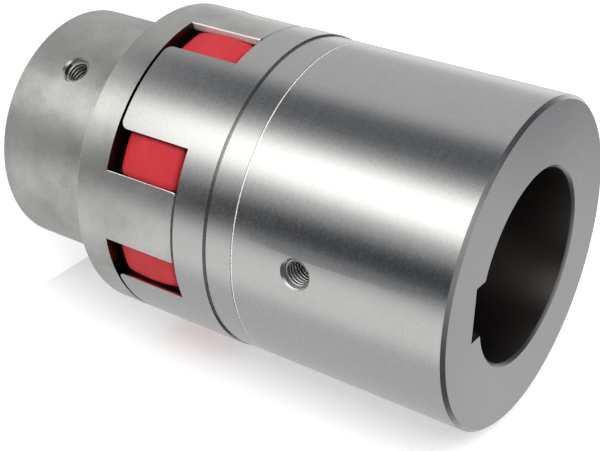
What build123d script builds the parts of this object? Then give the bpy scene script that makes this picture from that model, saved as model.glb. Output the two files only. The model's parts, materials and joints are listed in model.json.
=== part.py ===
"""A curved-jaw shaft coupling: a small hub, a large hub and the elastic spider between their jaws.

The coupling stands on the small hub's end face. Z is the shaft axis and the large hub is on top.
Sizes are in millimetres and angles in degrees, counted about Z from the X axis.
"""

import os
from math import cos, hypot, radians, sin, tan

from build123d import *

os.makedirs("parts", exist_ok=True)

# Both hubs share one rim, and their jaws interlock in the gap between the two faces.
rim_r = 95 / 2
jaw_count = 4
hub_gap = 25

# The small hub: a boss with a wider flange that carries the jaws.
boss_r = 75 / 2
boss_length = 40.5
flange_length = 10.5
neck_fillet = 1.5
flange_chamfer = 0.4
small_bore_r = 42 / 2
small_key_width = 12
small_key_depth = 3.3
small_jaw_length = 24.5
small_jaw_tip_round = 0.8
small_jaw_angle = 0
small_screw_height = 19
small_screw_angle = 222

# The large hub: a rim next to the jaws, then a long body of nearly the same diameter.
rim_step = 0.5
body_r = rim_r - rim_step
large_length = 84
rim_length = 10.3
relief_width = 0.8
relief_depth = 0.5
witness_from_face = 19.3
witness_width = 0.3
witness_depth = 0.15
large_bore_r = 55 / 2
large_key_width = 16
large_key_depth = 4.3
large_key_angle = 274.5
large_jaw_length = 24
large_jaw_tip_round = 2.2
large_jaw_angle = 45
large_screw_from_face = 40
large_screw_angle = 270

# Turned edges of both hubs.
end_chamfer = 1.0
bore_chamfer = 0.8
jaw_edge_break = 0.3

# The set-screw holes, M8 with a countersunk mouth.
screw_r = 8 / 2
sink_r = 9.2 / 2
sink_angle = 90

# The spider: eight crowned lobes, a little below the rim, on a narrower inner ring.
spider_width = 20.5
spider_inner_r = 23
ring_outer_r = 27.2
ring_width = 16
lobe_r = rim_r - 1.3
lobe_crown = 1.2
lobe_round = 2.4

# One lobe seen along the axis: radius and half width inside the ring, halfway out and past the rim.
lobe_root = (ring_outer_r - 1.2, 6.1)
lobe_tip = (rim_r + 1.5, 5.65)
lobe_middle = ((lobe_root[0] + lobe_tip[0]) / 2, 7.2)

# Each flank of a jaw clears its lobe by this much, and its inner side clears the spider's ring.
flank_clearance = 0.15
ring_clearance = 1.4
jaw_inner_r = ring_outer_r + ring_clearance

# The large hub's jaws are the wider ones, so the lobes stand further apart across them.
large_jaw_pitch = 49
small_jaw_pitch = 360 / jaw_count - large_jaw_pitch

# Heights along the shaft axis.
flange_z = boss_length
small_face_z = flange_z + flange_length
large_face_z = small_face_z + hub_gap
total_z = large_face_z + large_length
spider_z = small_face_z + hub_gap / 2

# Keyway floors, measured from the shaft axis.
small_key_floor = small_bore_r + small_key_depth
large_key_floor = large_bore_r + large_key_depth


def lobe_sketch(clearance):
    """A lobe along the X axis: a barrel between two arcs, made wider by the clearance."""
    with BuildSketch() as lobe:
        with BuildLine():
            ThreePointArc(
                (lobe_root[0], lobe_root[1] + clearance),
                (lobe_middle[0], lobe_middle[1] + clearance),
                (lobe_tip[0], lobe_tip[1] + clearance),
            )
            Line((lobe_tip[0], lobe_tip[1] + clearance), (lobe_tip[0], -lobe_tip[1] - clearance))
            ThreePointArc(
                (lobe_tip[0], -lobe_tip[1] - clearance),
                (lobe_middle[0], -lobe_middle[1] - clearance),
                (lobe_root[0], -lobe_root[1] - clearance),
            )
            Line((lobe_root[0], -lobe_root[1] - clearance), (lobe_root[0], lobe_root[1] + clearance))
        make_face()
    return lobe.sketch


def jaw_sketch(pitch):
    """A jaw about the X axis: the part of the rim's ring left between two lobe pockets."""
    reach = 2 * rim_r
    half_width = reach * tan(radians(pitch / 2))
    with BuildSketch() as jaw:
        with BuildLine():
            Polyline((0, 0), (reach, half_width), (reach, -half_width), close=True)
        make_face()
        Circle(rim_r, mode=Mode.INTERSECT)
        Circle(jaw_inner_r, mode=Mode.SUBTRACT)
        add(lobe_sketch(flank_clearance), rotation=pitch / 2, mode=Mode.SUBTRACT)
        add(lobe_sketch(flank_clearance), rotation=-pitch / 2, mode=Mode.SUBTRACT)
    return jaw.sketch


def outward_plane(radius, angle, height):
    """A plane that touches the given radius at this angle and height and faces away from the axis."""
    direction = (cos(radians(angle)), sin(radians(angle)), 0)
    return Plane(origin=(radius * direction[0], radius * direction[1], height), z_dir=direction)


# A jaw of the small hub points up: its tip is rounded at the flanks and broken at the rim.
with BuildPart() as small_jaw:
    with BuildSketch(Plane.XY.offset(small_face_z)):
        add(jaw_sketch(small_jaw_pitch))
    extrude(amount=small_jaw_length)
    tip = small_jaw.faces().sort_by(Axis.Z)[-1]
    fillet(tip.edges().filter_by(lambda edge: abs(edge.center().Y) > 1), small_jaw_tip_round)
    rim = small_jaw.faces().filter_by(GeomType.CYLINDER).sort_by(Axis.X)[-1]
    chamfer(rim.edges().sort_by(Axis.Z)[1:], jaw_edge_break)

# A jaw of the large hub points down and is rounded more.
with BuildPart() as large_jaw:
    with BuildSketch(Plane.XY.offset(large_face_z - large_jaw_length)):
        add(jaw_sketch(large_jaw_pitch))
    extrude(amount=large_jaw_length)
    tip = large_jaw.faces().sort_by(Axis.Z)[0]
    fillet(tip.edges().filter_by(lambda edge: abs(edge.center().Y) > 1), large_jaw_tip_round)

# The small hub: turned boss, flange and bore, then the keyway, the screw hole and the jaws.
with BuildPart() as small_hub:
    with BuildSketch(Plane.XZ):
        with BuildLine():
            Polyline(
                (small_bore_r + bore_chamfer, 0),
                (boss_r - end_chamfer, 0),
                (boss_r, end_chamfer),
                (boss_r, flange_z),
                (rim_r - flange_chamfer, flange_z),
                (rim_r, flange_z + flange_chamfer),
                (rim_r, small_face_z),
                (small_bore_r + bore_chamfer, small_face_z),
                (small_bore_r, small_face_z - bore_chamfer),
                (small_bore_r, bore_chamfer),
                close=True,
            )
        make_face()
    revolve(axis=Axis.Z)
    neck = small_hub.edges().filter_by(GeomType.CIRCLE).filter_by_position(Axis.Z, flange_z, flange_z)
    fillet(neck.sort_by(SortBy.RADIUS)[0], neck_fillet)
    with BuildSketch(Plane.XY):
        with PolarLocations(small_key_floor / 2, 1, start_angle=small_screw_angle):
            Rectangle(small_key_floor, small_key_width)
    extrude(amount=small_face_z, mode=Mode.SUBTRACT)
    with Locations(outward_plane(boss_r, small_screw_angle, small_screw_height)):
        CounterSinkHole(screw_r, sink_r, depth=boss_r, counter_sink_angle=sink_angle)
    with PolarLocations(0, jaw_count, start_angle=small_jaw_angle):
        add(small_jaw.part)

# The large hub: turned rim, relief groove, body and bore, then the same cuts and its jaws.
with BuildPart() as large_hub:
    with BuildSketch(Plane.XZ):
        with BuildLine():
            Polyline(
                (large_bore_r + bore_chamfer, large_face_z),
                (rim_r, large_face_z),
                (rim_r, large_face_z + rim_length),
                (body_r - relief_depth, large_face_z + rim_length),
                (body_r - relief_depth, large_face_z + rim_length + relief_width),
                (body_r, large_face_z + rim_length + relief_width),
                (body_r, large_face_z + witness_from_face),
                (body_r - witness_depth, large_face_z + witness_from_face + witness_width / 2),
                (body_r, large_face_z + witness_from_face + witness_width),
                (body_r, total_z - end_chamfer),
                (body_r - end_chamfer, total_z),
                (large_bore_r + bore_chamfer, total_z),
                (large_bore_r, total_z - bore_chamfer),
                (large_bore_r, large_face_z + bore_chamfer),
                close=True,
            )
        make_face()
    revolve(axis=Axis.Z)
    with BuildSketch(Plane.XY.offset(large_face_z)):
        with PolarLocations(large_key_floor / 2, 1, start_angle=large_key_angle):
            Rectangle(large_key_floor, large_key_width)
    extrude(amount=large_length, mode=Mode.SUBTRACT)
    with Locations(outward_plane(body_r, large_screw_angle, large_face_z + large_screw_from_face)):
        CounterSinkHole(screw_r, sink_r, depth=body_r, counter_sink_angle=sink_angle)
    with PolarLocations(0, jaw_count, start_angle=large_jaw_angle):
        add(large_jaw.part)

# The spider is moulded in one shot: lobes crowned by a turned outline, then all edges rounded.
with BuildPart() as spider:
    with BuildSketch(Plane.XY.offset(spider_z - spider_width / 2)):
        for side in (1, -1):
            with PolarLocations(0, jaw_count, start_angle=large_jaw_angle + side * large_jaw_pitch / 2):
                add(lobe_sketch(0))
    extrude(amount=spider_width)
    with BuildSketch(Plane.XZ):
        with BuildLine():
            ThreePointArc(
                (lobe_r - lobe_crown, spider_z - spider_width / 2),
                (lobe_r, spider_z),
                (lobe_r - lobe_crown, spider_z + spider_width / 2),
            )
            Polyline(
                (lobe_r - lobe_crown, spider_z + spider_width / 2),
                (0, spider_z + spider_width / 2),
                (0, spider_z - spider_width / 2),
                (lobe_r - lobe_crown, spider_z - spider_width / 2),
            )
        make_face()
    revolve(axis=Axis.Z, mode=Mode.INTERSECT)
    lobe_edges = spider.edges().filter_by(lambda edge: hypot(edge.center().X, edge.center().Y) > jaw_inner_r)
    fillet(lobe_edges, lobe_round)
    with BuildSketch(Plane.XY.offset(spider_z - ring_width / 2)):
        Circle(ring_outer_r)
        Circle(spider_inner_r, mode=Mode.SUBTRACT)
    extrude(amount=ring_width)

for name, built in (("small_hub", small_hub), ("spider", spider), ("large_hub", large_hub)):
    built.part.label = name
    export_step(built.part, f"parts/{name}.step")
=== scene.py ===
# %% [markdown]
# # A curved-jaw shaft coupling
# Two steel hubs grip two shaft ends. Their jaws interlock with a gap, and a red elastic spider
# fills the gap so that the hubs drive each other without touching. The solids come from the CAD
# model, already in place. This script gives them their finishes, adds the threads in the two
# set-screw holes, and builds a small studio round them.

# %% Load the CAD model
import json
import math

import bpy
from mathutils import Matrix, Vector


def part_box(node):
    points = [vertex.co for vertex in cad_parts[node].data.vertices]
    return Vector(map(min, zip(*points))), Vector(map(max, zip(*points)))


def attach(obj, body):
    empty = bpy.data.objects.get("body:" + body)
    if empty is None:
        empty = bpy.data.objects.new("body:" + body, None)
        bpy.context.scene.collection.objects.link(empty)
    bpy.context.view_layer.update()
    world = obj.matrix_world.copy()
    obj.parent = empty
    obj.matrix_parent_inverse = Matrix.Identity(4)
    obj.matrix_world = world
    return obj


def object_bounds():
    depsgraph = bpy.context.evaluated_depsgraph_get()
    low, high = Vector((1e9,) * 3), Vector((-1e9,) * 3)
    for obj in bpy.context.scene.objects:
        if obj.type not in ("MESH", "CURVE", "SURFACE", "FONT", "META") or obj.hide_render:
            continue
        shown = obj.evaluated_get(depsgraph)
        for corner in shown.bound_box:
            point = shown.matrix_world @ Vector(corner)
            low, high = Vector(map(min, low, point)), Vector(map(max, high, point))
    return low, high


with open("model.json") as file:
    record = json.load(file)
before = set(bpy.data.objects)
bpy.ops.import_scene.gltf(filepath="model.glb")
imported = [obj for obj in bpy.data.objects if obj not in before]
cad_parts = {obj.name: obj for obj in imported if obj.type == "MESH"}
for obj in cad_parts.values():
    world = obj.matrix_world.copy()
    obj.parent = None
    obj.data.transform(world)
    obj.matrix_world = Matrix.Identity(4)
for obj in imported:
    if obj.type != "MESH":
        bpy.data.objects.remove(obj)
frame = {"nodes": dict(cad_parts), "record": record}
cad_low, cad_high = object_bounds()
small_hub = frame["nodes"]["small_hub"]
spider = frame["nodes"]["spider"]
large_hub = frame["nodes"]["large_hub"]
mounts = {mount["name"]: mount for mount in frame["record"]["mounts"]}
MM = 0.001
print("coupling box in mm", [round(c / MM, 2) for c in (*cad_low, *cad_high)])

# %% [markdown]
# ## Helpers for materials
# Colours are written as sRGB hex values, as a paint chart gives them, and Blender wants linear
# light, so one function converts them. A second one adds a node, sets its options and inputs, and
# links it. A few more give the result of one common node each, so that each material below reads
# as a short recipe.

# %% Colour and node helpers
def linear(hex_colour):
    """An sRGB hex colour as linear red, green and blue, with an alpha of 1."""
    channels = [int(hex_colour[i : i + 2], 16) / 255 for i in (1, 3, 5)]
    return [c / 12.92 if c <= 0.04045 else ((c + 0.055) / 1.055) ** 2.4 for c in channels] + [1.0]


def node(tree, kind, inputs=None, **settings):
    """Adds a node, sets its options, then sets each input to a value or links it to an output."""
    made = tree.nodes.new(kind)
    for name, value in settings.items():
        setattr(made, name, value)
    for name, value in (inputs or {}).items():
        if isinstance(value, bpy.types.NodeSocket):
            tree.links.new(value, made.inputs[name])
        else:
            made.inputs[name].default_value = value
    return made


def new_material(name):
    """An empty node material with its output node."""
    made = bpy.data.materials.new(name)
    made.use_nodes = True
    made.node_tree.nodes.clear()
    return made, made.node_tree, node(made.node_tree, "ShaderNodeOutputMaterial")


def dress(piece, material):
    """Puts one material in every slot of a piece."""
    if not piece.material_slots:
        piece.data.materials.append(material)
    for place in piece.material_slots:
        place.material = material


# %% Helpers that return a node's result
def maths(tree, operation, first, second=0.0):
    """The result of one calculation, such as MULTIPLY or LESS_THAN."""
    return node(tree, "ShaderNodeMath", {0: first, 1: second}, operation=operation).outputs["Value"]


def remap(tree, value, start, end, low=0.0, high=1.0):
    """A value that goes from low to high while its input goes from start to end."""
    ends = {"From Min": start, "From Max": end, "To Min": low, "To Max": high}
    return node(tree, "ShaderNodeMapRange", {"Value": value, **ends}).outputs["Result"]


def blend(tree, share, first, second):
    """A number between two numbers."""
    return node(tree, "ShaderNodeMix", {0: share, 2: first, 3: second}, data_type="FLOAT").outputs[0]


def blend_colours(tree, share, first, second, way="MIX"):
    """A colour between two colours, or their product with MULTIPLY."""
    inputs = {0: share, 6: first, 7: second}
    return node(tree, "ShaderNodeMix", inputs, data_type="RGBA", blend_type=way).outputs[2]


def noise(tree, place, scale, detail, roughness=0.5):
    """Cloudy noise from 0 to 1, about one cloud in 1 / scale metres."""
    inputs = {"Vector": place, "Scale": scale, "Detail": detail, "Roughness": roughness}
    return node(tree, "ShaderNodeTexNoise", inputs).outputs["Fac"]


def bump(tree, height, strength, distance, **under):
    """A surface normal that rises and falls with the height, over any Normal that is given."""
    inputs = {"Height": height, "Strength": strength, "Distance": distance, **under}
    return node(tree, "ShaderNodeBump", inputs).outputs["Normal"]


def ramp(tree, share, stops):
    """A colour ramp over a share, from (position, hex colour or grey) stops."""
    made = node(tree, "ShaderNodeValToRGB", {"Fac": share})
    elements = made.color_ramp.elements
    while len(elements) < len(stops):
        elements.new(0.5)
    for element, (position, colour) in zip(elements, stops):
        element.position = position
        element.color = linear(colour) if isinstance(colour, str) else (colour, colour, colour, 1)
    return made.outputs["Color"]


# %% [markdown]
# ## Where a turning tool leaves its marks
# A hub is turned on a lathe, so every mark on it is a circle round the shaft axis. On the outside
# and in the bore the circles are stacked along Z, and on an end face they are rings of growing
# radius. A noise that is read at (radius, height) alone is the same all the way round, so it gives
# both kinds of marks at once. A little of the place is mixed in, because real marks fade and
# return along their circle.

# %% Coordinates of a turned part
def turned_coordinates(tree):
    """The object position, the height and the radius in millimetres, and the way out from Z."""
    place = node(tree, "ShaderNodeTexCoord").outputs["Object"]
    parts = node(tree, "ShaderNodeSeparateXYZ", {"Vector": place}).outputs
    flat = node(tree, "ShaderNodeCombineXYZ", {"X": parts["X"], "Y": parts["Y"]}).outputs["Vector"]
    radius = node(tree, "ShaderNodeVectorMath", {0: flat}, operation="LENGTH").outputs["Value"]
    height_mm = maths(tree, "MULTIPLY", parts["Z"], 1 / MM)
    radius_mm = maths(tree, "MULTIPLY", radius, 1 / MM)
    return place, height_mm, radius_mm, flat


def turning_marks(tree, height_mm, radius_mm, flat, pitch_mm, drift):
    """Noise in circles round the axis, about one mark per pitch, that drifts slowly along them."""
    lines = node(tree, "ShaderNodeCombineXYZ", {"X": radius_mm, "Z": height_mm}).outputs["Vector"]
    fine = {0: lines, 1: (1 / pitch_mm, 1 / pitch_mm, 1 / pitch_mm)}
    slow = {0: flat, 1: (drift, drift, 0)}
    across = node(tree, "ShaderNodeVectorMath", fine, operation="MULTIPLY").outputs["Vector"]
    along = node(tree, "ShaderNodeVectorMath", slow, operation="MULTIPLY").outputs["Vector"]
    both = node(tree, "ShaderNodeVectorMath", {0: across, 1: along}).outputs["Vector"]
    return noise(tree, both, 1.0, 3.0, 0.6)


def facing_ways(tree, flat):
    """How far a surface faces away from the shaft axis, and how far it faces up, from -1 to 1."""
    normal = node(tree, "ShaderNodeTexCoord").outputs["Normal"]
    way_out = node(tree, "ShaderNodeVectorMath", {0: flat}, operation="NORMALIZE").outputs["Vector"]
    both = {0: way_out, 1: normal}
    outward = node(tree, "ShaderNodeVectorMath", both, operation="DOT_PRODUCT").outputs["Value"]
    return outward, node(tree, "ShaderNodeSeparateXYZ", {"Vector": normal}).outputs["Z"]


def round_the_axis(tree):
    """The direction round Z, along which a lathe leaves its marks."""
    return node(tree, "ShaderNodeTangent", direction_type="RADIAL", axis="Z").outputs["Tangent"]


# %% [markdown]
# ## Fine-turned steel
# The large hub is bright steel, turned with a fine feed and left bare. Steel is a metal, so its
# colour is all in its reflection: a light grey, hardly tinted. The feed marks lie round the
# circle and spread the highlights along the axis, which anisotropy does.

# %% Marks and clouds of the fine-turned steel
turned_steel, tree, output = new_material("fine_turned_steel")
place, height_mm, radius_mm, flat = turned_coordinates(tree)
fine_marks = turning_marks(tree, height_mm, radius_mm, flat, pitch_mm=0.25, drift=90)
broad_marks = turning_marks(tree, height_mm, radius_mm, flat, pitch_mm=2.6, drift=12)
marks = blend(tree, 0.25, fine_marks, broad_marks)
cloud = noise(tree, place, 1 / (0.9 * MM), 2.0, 0.55)
shade = blend(tree, 0.5, marks, cloud)
open_colour = ramp(tree, shade, [(0.3, "#C4C4C4"), (0.55, "#CECECD"), (0.75, "#D8D8D6")])
open_roughness = remap(tree, shade, 0.3, 0.7, 0.22, 0.29)

# %% [markdown]
# The bore was turned with a coarser feed, so it is rougher and its marks are deeper. Its colour is
# painted darker as painted shade, for the inside of the bore lies in shade. It is told from the
# outside by its radius.

# %% Bore of the large hub
bore_edge_mm, bore_edge_end_mm = 27.6, 28.4
in_bore = remap(tree, radius_mm, bore_edge_mm, bore_edge_end_mm, 1.0, 0.0)
# Painted shade: the bore's colour is darkened to stand for the shade inside it.
bore_shaded_colour = blend_colours(tree, in_bore, open_colour, linear("#938E8A"))
hub_roughness = blend(tree, in_bore, open_roughness, 0.36)
mark_depth = remap(tree, in_bore, 0.0, 1.0, 0.05, 0.5)
hub_normal = bump(tree, marks, mark_depth, 0.05 * MM)

# %% [markdown]
# The sides of the jaws were sawn and filed. They lie in the shadow of the gap, and their colour
# is painted dark as painted shade, with a painted highlight along the outer edge. A second painted
# highlight lies on the lip of the fine groove round the body.

# %% Painted shade and highlight on the jaw sides, and the groove's painted highlight
large_face_mm, face_margin_mm = 76.0, 0.3
side_dark_mm, side_rim_mm = 40.0, 48.0
outward = facing_ways(tree, flat)[0]
turned_away = maths(tree, "LESS_THAN", outward, 0.7)
on_jaws = maths(tree, "LESS_THAN", height_mm, large_face_mm + face_margin_mm)
jaw_side = maths(tree, "MULTIPLY", turned_away, on_jaws)
depth_share = remap(tree, radius_mm, side_dark_mm, side_rim_mm)
# Painted shade deep in the gap between the jaws, and a painted highlight at their outer edge.
jaw_side_shade_and_highlight = ramp(tree, depth_share, [(0.0, "#3A3330"), (0.83, "#4A423E"), (0.88, "#F0EFEC")])
colour_with_painted_shade_and_highlight = blend_colours(tree, jaw_side, bore_shaded_colour, jaw_side_shade_and_highlight)
# Painted highlight: a bright, less metallic ring of colour on the lip of the groove round the body.
groove_highlight_from_mm, groove_highlight_to_mm, groove_highlight_fade_mm = 95.45, 95.8, 0.05
groove_highlight_start = remap(tree, height_mm, groove_highlight_from_mm - groove_highlight_fade_mm, groove_highlight_from_mm)
groove_highlight_end = remap(tree, height_mm, groove_highlight_to_mm, groove_highlight_to_mm + groove_highlight_fade_mm, 1.0, 0.0)
groove_highlight = maths(tree, "MULTIPLY", groove_highlight_start, groove_highlight_end)

# %% Finish the fine-turned steel
steel = node(
    tree,
    "ShaderNodeBsdfPrincipled",
    {
        # The groove's painted highlight is mixed into the base colour here.
        "Base Color": blend_colours(tree, groove_highlight, colour_with_painted_shade_and_highlight, linear("#FAFAF8")),
        "Metallic": remap(tree, groove_highlight, 0.0, 1.0, 1.0, 0.3),
        "Roughness": hub_roughness,
        "Anisotropic": 0.6,
        "Anisotropic Rotation": 0.25,
        "Tangent": round_the_axis(tree),
        "Normal": hub_normal,
    },
)
tree.links.new(steel.outputs["BSDF"], output.inputs["Surface"])
dress(large_hub, turned_steel)
print("large hub wears", turned_steel.name)

# %% [markdown]
# ## Blasted steel
# The small hub is duller. Its turned skin was blasted with fine grit, which leaves a soft, even
# grey with faint clouds. The grit's dents are far finer than can show, so they are drawn a little
# coarser, at about half a millimetre.

# %% Skin of the blasted steel
blasted_steel, tree, output = new_material("blasted_steel")
place, height_mm, radius_mm, flat = turned_coordinates(tree)
faint_marks = turning_marks(tree, height_mm, radius_mm, flat, pitch_mm=0.9, drift=40)
clouds = noise(tree, place, 75, 5.0, 0.62)
grit = noise(tree, place, 1 / (0.5 * MM), 2.0)
tone = blend(tree, 0.3, clouds, grit)
skin_colour = ramp(tree, tone, [(0.34, "#C0C0BE"), (0.5, "#D5D5D2"), (0.66, "#E6E6E3")])
skin_roughness = remap(tree, tone, 0.3, 0.7, 0.26, 0.36)
skin_normal = bump(tree, blend(tree, 0.6, faint_marks, grit), 0.1, 0.06 * MM)

# %% [markdown]
# This hub's jaw sides and its flange's lower edge are painted bright as painted light, with less
# metal, so that they scatter light more than they mirror it. The face between the jaws is in deep
# shade, and its colour is painted dark as painted shade.

# %% Painted light on the small hub's jaw sides and painted shade on its face
small_face_mm, small_face_margin_mm = 51.0, 0.5
rim_start_mm, rim_end_mm = 44.6, 45.4
outward, upward = facing_ways(tree, flat)
# Painted light: the jaw sides and the flange's lower edge, near the rim, are painted bright.
turned_away = maths(tree, "LESS_THAN", outward, 0.85)
not_up = maths(tree, "LESS_THAN", upward, 0.5)
near_rim = remap(tree, radius_mm, rim_start_mm, rim_end_mm)
flank_painted_light = maths(tree, "MULTIPLY", maths(tree, "MULTIPLY", turned_away, not_up), near_rim)
colour_with_flank_light = blend_colours(tree, flank_painted_light, skin_colour, linear("#F4F4F2"))
# Painted shade: the face between the jaws is painted dark.
flat_up = maths(tree, "GREATER_THAN", upward, 0.9)
at_face = maths(tree, "LESS_THAN", height_mm, small_face_mm + small_face_margin_mm)
face_painted_shade = maths(tree, "MULTIPLY", flat_up, at_face)

# %% Finish the blasted steel
blasted = node(
    tree,
    "ShaderNodeBsdfPrincipled",
    {
        # Painted shade on the face between the jaws, over the flanks' painted light.
        "Base Color": blend_colours(tree, face_painted_shade, colour_with_flank_light, linear("#5C5450")),
        "Metallic": remap(tree, flank_painted_light, 0.0, 1.0, 1.0, 0.1),
        "Roughness": skin_roughness,
        "Anisotropic": 0.5,
        "Anisotropic Rotation": 0.25,
        "Tangent": round_the_axis(tree),
        "Normal": skin_normal,
    },
)
tree.links.new(blasted.outputs["BSDF"], output.inputs["Surface"])
dress(small_hub, blasted_steel)
print("small hub wears", blasted_steel.name)

# %% [markdown]
# ## Moulded polyurethane
# The spider is cast in red polyurethane, a tough rubbery plastic. The mould gives it a satin skin
# with a fine speckle, and leaves a faint line round the middle of each lobe where its halves met.

# %% Make the red polyurethane
spider_low, spider_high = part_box("spider")
spider_middle = (spider_low[2] + spider_high[2]) / 2 / MM
red_polyurethane, tree, output = new_material("moulded_polyurethane")
place, height_mm, radius_mm, flat = turned_coordinates(tree)
speckle = noise(tree, place, 1 / (0.45 * MM), 2.0, 0.7)
flow = noise(tree, place, 160, 3.0)
red = blend(tree, 0.45, flow, speckle)
red_colour = ramp(tree, red, [(0.3, "#B41B26"), (0.5, "#C1222D"), (0.72, "#CE2E39")])
line_distance = maths(tree, "ABSOLUTE", maths(tree, "SUBTRACT", height_mm, spider_middle))
flash = remap(tree, line_distance, 0.05, 0.3, 1.0, 0.0)
line_normal = bump(tree, flash, 0.7, 0.12 * MM)
red_normal = bump(tree, speckle, 0.6, 0.08 * MM, Normal=line_normal)
polyurethane = node(
    tree,
    "ShaderNodeBsdfPrincipled",
    {"Base Color": red_colour, "Roughness": 0.5, "IOR": 1.45, "Normal": red_normal},
)
tree.links.new(polyurethane.outputs["BSDF"], output.inputs["Surface"])
dress(spider, red_polyurethane)
print("parting line at z", round(spider_middle, 2), "mm")

# %% [markdown]
# ## The studio
# The coupling stands on a pale floor. A pale wall stands behind it, just clear of the rims.
# Bare steel shows only what it mirrors, so a tent is hung round it, with a bright strip between
# two dark flags. Here the tent is a dome that only reflections see.

# %% Floor and wall
def flat_sheet(name, corners):
    """A one-face sheet through the corners."""
    mesh = bpy.data.meshes.new(name)
    mesh.from_pydata(corners, [], [tuple(range(len(corners)))])
    made = bpy.data.objects.new(name, mesh)
    bpy.context.scene.collection.objects.link(made)
    return made


reach = 3.0
floor = flat_sheet("floor", [(-reach, -reach, 0), (reach, -reach, 0), (reach, reach, 0), (-reach, reach, 0)])
wall_angle = math.radians(6.9)
wall_gap = 1.5 * MM
wall_distance = cad_high[0] + wall_gap
outward = Vector((math.cos(wall_angle), math.sin(wall_angle), 0))
along = Vector((-outward.y, outward.x, 0))
foot, top = outward * wall_distance, Vector((0, 0, reach))
near, far = foot - along * reach, foot + along * reach
wall = flat_sheet("wall", [near, near + top, far + top, far])
floor.visible_glossy = False
wall.visible_glossy = False


def white_paper(name, lift):
    """Matt white paper that the camera sees a little lighter, and not at all from behind."""
    paper, tree, output = new_material(name)
    path = node(tree, "ShaderNodeLightPath")
    sides = node(tree, "ShaderNodeNewGeometry")
    matt = node(tree, "ShaderNodeBsdfDiffuse", {"Color": linear("#F4F4F4")})
    seen = remap(tree, path.outputs["Is Camera Ray"], 0.0, 1.0, 0.0, lift)
    shine = node(tree, "ShaderNodeEmission", {"Strength": seen})
    lifted = node(tree, "ShaderNodeAddShader", {0: matt.outputs["BSDF"], 1: shine.outputs["Emission"]})
    clear = node(tree, "ShaderNodeBsdfTransparent")
    faces = {0: sides.outputs["Backfacing"], 1: lifted.outputs["Shader"], 2: clear.outputs["BSDF"]}
    sheet = node(tree, "ShaderNodeMixShader", faces)
    tree.links.new(sheet.outputs["Shader"], output.inputs["Surface"])
    return paper


dress(floor, white_paper("floor_paper", 0.6))
dress(wall, white_paper("wall_paper", 0.38))

# %% Reflection tent
tent_radius, tent_height = 0.45, 0.1
tent_rings, tent_steps = 24, 72
lowest_lift, whole_lift = -40, 130
verts, faces = [], []
for ring in range(tent_rings + 1):
    lift = math.radians(lowest_lift + whole_lift * ring / tent_rings)
    for step in range(tent_steps):
        turn = 2 * math.pi * step / tent_steps
        verts.append(
            (
                tent_radius * math.cos(lift) * math.cos(turn),
                tent_radius * math.cos(lift) * math.sin(turn),
                tent_radius * math.sin(lift) + tent_height,
            )
        )
for ring in range(tent_rings):
    for step in range(tent_steps):
        a = ring * tent_steps + step
        b = ring * tent_steps + (step + 1) % tent_steps
        faces.append((a, b, b + tent_steps, a + tent_steps))
mesh = bpy.data.meshes.new("reflection_tent")
mesh.from_pydata(verts, [], faces)
tent = bpy.data.objects.new("reflection_tent", mesh)
bpy.context.scene.collection.objects.link(tent)
tent.visible_camera = False
tent.visible_diffuse = False
tent.visible_shadow = False
tent.visible_transmission = False

# %% [markdown]
# The tent is grey cloth with a few cards hung in it. A card is written as its centre and its half
# width, both in degrees about Z, and its light. Low down, where the hubs' sides look, there is a
# strip light between two dark flags, a fill card and a far card. High up, where the end face
# looks, the cloth is dark.

# %% Light on the tent
def ring_of_cards(cloth, edge, cards):
    """Stops round the tent from its cards, each fading into the cloth over an edge."""
    stops = []
    for centre, half, light in cards:
        stops += [(centre - half - edge, cloth), (centre - half, light)]
        stops += [(centre + half, light), (centre + half + edge, cloth)]
    return [(degrees, light) for degrees, light in stops if degrees > -180]


side_light = [(-180, 0.3)] + ring_of_cards(
    0.6, 12, [(-168, 8, 0.15), (-130, 7, 2.0), (-91, 6, 0.05), (-55, 10, 0.9), (100, 5, 0.95)]
)
side_light += [(172, 0.6), (180, 0.3)]
top_light = ring_of_cards(0.1, 20, [(-130, 8, 0.9), (55, 13, 0.58)])
brightest = 4.0


def round_share(stops):
    """The same stops with shares of the whole turn and of the brightest light."""
    return [((degrees + 180) / 360, light / brightest) for degrees, light in stops]


# %% [markdown]
# The two rings of light blend from one to the other with height, and a plain grey lid closes the
# top. Its darker parts are a touch blue and its light parts a touch warm, as daylight in a tent is.

# %% Tent cloth
high_from, high_to = 0.2, 0.32
lid_from, lid_to = 0.45, 0.5
lid_grey = (0.1, 0.1, 0.1, 1)
tent_cloth, tree, output = new_material("tent_cloth")
place = node(tree, "ShaderNodeTexCoord").outputs["Object"]
parts = node(tree, "ShaderNodeSeparateXYZ", {"Vector": place})
turn = maths(tree, "ARCTAN2", parts.outputs["Y"], parts.outputs["X"])
share = remap(tree, turn, -math.pi, math.pi)
low_ring = ramp(tree, share, round_share(side_light))
high_ring = ramp(tree, share, round_share(top_light))
high_share = remap(tree, parts.outputs["Z"], high_from, high_to)
lid_share = remap(tree, parts.outputs["Z"], lid_from, lid_to)
dome = blend_colours(tree, high_share, low_ring, high_ring)
lidded = blend_colours(tree, lid_share, dome, lid_grey)
tint = ramp(tree, lidded, [(0.02, "#E4EAF4"), (0.12, "#FBFBFD"), (0.3, "#FFFEFB")])
tinted = blend_colours(tree, 1.0, lidded, tint, "MULTIPLY")
glow = node(tree, "ShaderNodeEmission", {"Color": tinted, "Strength": brightest})
tree.links.new(glow.outputs["Emission"], output.inputs["Surface"])
dress(tent, tent_cloth)
print("tent radius", tent_radius, "m, faces", len(faces))

# %% [markdown]
# ## Cut threads
# Each set-screw hole is tapped M8. The CAD hole has the thread's full diameter, so what is
# missing is the ridge that winds down its wall. A thread follows a rule, which suits Geometry
# Nodes: a spiral curve gives the path, and a small trapezium swept along it gives the ridge.

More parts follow.
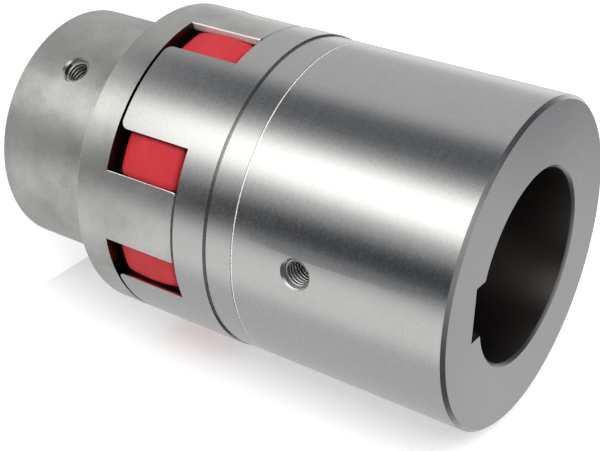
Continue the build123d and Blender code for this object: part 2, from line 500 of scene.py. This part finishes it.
# %% Thread tree
def thread_tree():
    """Geometry Nodes that wind a ridge down a hole along Z, centred on the origin."""
    tree = bpy.data.node_groups.new("cut_thread", "GeometryNodeTree")
    face = tree.interface
    sizes = {}
    for name, value in (("Hole Radius", 0.004), ("Pitch", 0.00125), ("Length", 0.012), ("Depth", 0.00066)):
        socket = face.new_socket(name, in_out="INPUT", socket_type="NodeSocketFloat")
        socket.default_value = value
        sizes[name] = socket.identifier
    steel_input = face.new_socket("Steel", in_out="INPUT", socket_type="NodeSocketMaterial")
    sizes["Steel"] = steel_input.identifier
    face.new_socket("Geometry", in_out="OUTPUT", socket_type="NodeSocketGeometry")
    given = node(tree, "NodeGroupInput").outputs
    turns = maths(tree, "DIVIDE", given["Length"], given["Pitch"])
    sunk_share, root_share, crest_share = 0.45, 0.9, 0.14
    sunk = maths(tree, "MULTIPLY", given["Depth"], sunk_share)
    path_radius = maths(tree, "SUBTRACT", given["Hole Radius"], sunk)
    spiral = node(
        tree,
        "GeometryNodeCurveSpiral",
        {
            "Resolution": 40,
            "Rotations": turns,
            "Start Radius": path_radius,
            "End Radius": path_radius,
            "Height": given["Length"],
        },
    )
    spiral_curve = {"Curve": spiral.outputs["Curve"]}
    upright = node(tree, "GeometryNodeSetCurveNormal", spiral_curve, mode="Z_UP").outputs["Curve"]
    half_down = maths(tree, "MULTIPLY", given["Length"], -0.5)
    drop = node(tree, "ShaderNodeCombineXYZ", {"Z": half_down}).outputs["Vector"]
    centred = node(tree, "GeometryNodeTransform", {"Geometry": upright, "Translation": drop})
    profile = node(
        tree,
        "GeometryNodeCurvePrimitiveQuadrilateral",
        {
            "Height": given["Depth"],
            "Bottom Width": maths(tree, "MULTIPLY", given["Pitch"], root_share),
            "Top Width": maths(tree, "MULTIPLY", given["Pitch"], crest_share),
            "Offset": 0.0,
        },
        mode="TRAPEZOID",
    )
    curves = {"Curve": centred.outputs["Geometry"], "Profile Curve": profile.outputs["Curve"]}
    swept = node(tree, "GeometryNodeCurveToMesh", {**curves, "Fill Caps": True})
    real = node(tree, "GeometryNodeRealizeInstances", {"Geometry": swept.outputs["Mesh"]})
    finish = {"Geometry": real.outputs["Geometry"], "Material": given["Steel"]}
    dressed = node(tree, "GeometryNodeSetMaterial", finish)
    node(tree, "NodeGroupOutput", {"Geometry": dressed.outputs["Geometry"]})
    return tree, sizes


wind_thread, thread_inputs = thread_tree()
print("thread inputs", sorted(thread_inputs))

# %% [markdown]
# The ridge is wound round Z at the origin, then its mesh is turned to lie along the hole. The
# hole's mount gives the place and the way out of the hub, and the two ends are distances from the
# shaft axis: the floor of the keyway or the bore, and the foot of the countersink.

# %% Wind both threads
thread_pitch, thread_depth, hole_radius = 1.25 * MM, 0.66 * MM, 4.0 * MM


def cut_thread(name, mount_name, inner, outer, steel, slot):
    """A thread's ridge as a plain mesh, from one distance from the shaft axis to another."""
    mount = mounts[mount_name]
    way_out = Vector(mount["axis"])
    made = bpy.data.objects.new(name, bpy.data.meshes.new(name))
    bpy.context.scene.collection.objects.link(made)
    winding = made.modifiers.new("winding", "NODES")
    winding.node_group = wind_thread
    for size, value in (
        ("Hole Radius", hole_radius),
        ("Pitch", thread_pitch),
        ("Length", outer - inner - thread_pitch),
        ("Depth", thread_depth),
        ("Steel", steel),
    ):
        winding[thread_inputs[size]] = value
    wound = bpy.context.evaluated_depsgraph_get()
    mesh = bpy.data.meshes.new_from_object(made.evaluated_get(wound), depsgraph=wound)
    made.modifiers.remove(winding)
    made.data = mesh
    turn = way_out.to_track_quat("Z", "Y").to_matrix().to_4x4()
    middle = Vector((0, 0, mount["pos_m"][2])) + way_out * (inner + outer) / 2
    mesh.transform(Matrix.Translation(middle) @ turn)
    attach(made, "root")
    print(name, len(mesh.polygons), "faces, from", round(inner / MM, 1), "to", round(outer / MM, 1), "mm")


large_ends, small_ends = (31.8 * MM, 46.4 * MM), (24.3 * MM, 36.9 * MM)
cut_thread("large_hub_thread", "large_set_screw", *large_ends, turned_steel, "turned_steel")
cut_thread("small_hub_thread", "small_set_screw", *small_ends, blasted_steel, "blasted_steel")

# %% [markdown]
# ## Stage lamps and the camera
# One large soft lamp stands over the side that faces the open studio, and an even pale world
# fills the shadows. Neither shows in the steel, which mirrors the tent alone.

# %% World
world = bpy.data.worlds.new("pale_studio")
bpy.context.scene.world = world
world.use_nodes = True
tree = world.node_tree
tree.nodes.clear()
path = node(tree, "ShaderNodeLightPath")
fill_light, seen_light = 0.47, 1.0
level = remap(tree, path.outputs["Is Camera Ray"], 0.0, 1.0, fill_light, seen_light)
sky = node(tree, "ShaderNodeBackground", {"Color": linear("#FFFFFF"), "Strength": level})
node(tree, "ShaderNodeOutputWorld", {"Surface": sky.outputs["Background"]})

# %% Lamps
def soft_lamp(name, place, target, width, power):
    """A square area lamp that looks at a target and doesn't show in mirrors."""
    light = bpy.data.lights.new(name, "AREA")
    light.size = width
    light.energy = power
    made = bpy.data.objects.new(name, light)
    made.location = place
    made.rotation_euler = (Vector(target) - Vector(place)).to_track_quat("-Z", "Y").to_euler()
    made.visible_glossy = False
    bpy.context.scene.collection.objects.link(made)


middle = (Vector(cad_low) + Vector(cad_high)) / 2
soft_lamp("key_lamp", middle + Vector((-0.85, -0.45, 0.55)), middle, 0.9, 9.5)

# %% Camera
camera_data = bpy.data.cameras.new("studio_camera")
camera_data.sensor_width = 36
camera_data.lens = 76.0
camera = bpy.data.objects.new("studio_camera", camera_data)
camera.location = (-0.142013, -0.292027, 0.273587)
camera.rotation_euler = [math.radians(angle) for angle in (-29.640, -55.357, 97.086)]
bpy.context.scene.collection.objects.link(camera)
bpy.context.scene.camera = camera
bpy.context.scene.view_settings.view_transform = "Standard"
print("camera", round((camera.location - middle).length, 3), "m from the coupling's middle")
